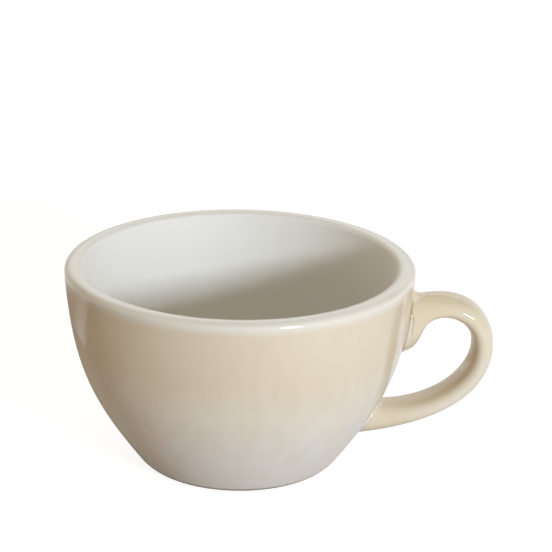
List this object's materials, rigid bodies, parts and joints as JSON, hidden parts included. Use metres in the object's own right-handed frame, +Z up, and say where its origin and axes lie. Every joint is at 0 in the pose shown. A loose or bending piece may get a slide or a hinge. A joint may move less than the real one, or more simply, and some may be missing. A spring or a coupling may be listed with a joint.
{
  "type": "cappuccino cup",
  "caption": "Low, wide stoneware cup with a thick rounded lip, a tapering bowl on a small foot ring and a loop handle flared at its upper root, for a milky coffee.",
  "frame": {"origin": "on the table under the middle of the overall length, halfway between the bowl's far side and the tip of the handle", "axes": "+X along the overall length towards the handle, +Z up the bowl's axis"},
  "size_m": [0.1134, 0.092, 0.0546],
  "materials": {
    "bare_clay": "matt fired stoneware, seen only on the foot ring",
    "pooled_glaze": "glossy pale glaze pooled on the slip bead",
    "white_liner_glaze": "glossy warm white",
    "beige_outer_glaze": "glossy beige reactive glaze, paler at the lip and the foot",
    "beige_handle_glaze": "glossy beige reactive glaze",
    "pale_well_glaze": "glossy pale glaze under the foot"
  },
  "bodies": {
    "root": {"cup_body": "bare_clay", "handle": "bare_clay", "upper_handle_slip": "pooled_glaze", "lower_handle_slip": "pooled_glaze", "liner_glaze": "white_liner_glaze", "outer_glaze": "beige_outer_glaze", "handle_glaze": "beige_handle_glaze", "well_glaze": "pale_well_glaze"}
  },
  "joints": []
}
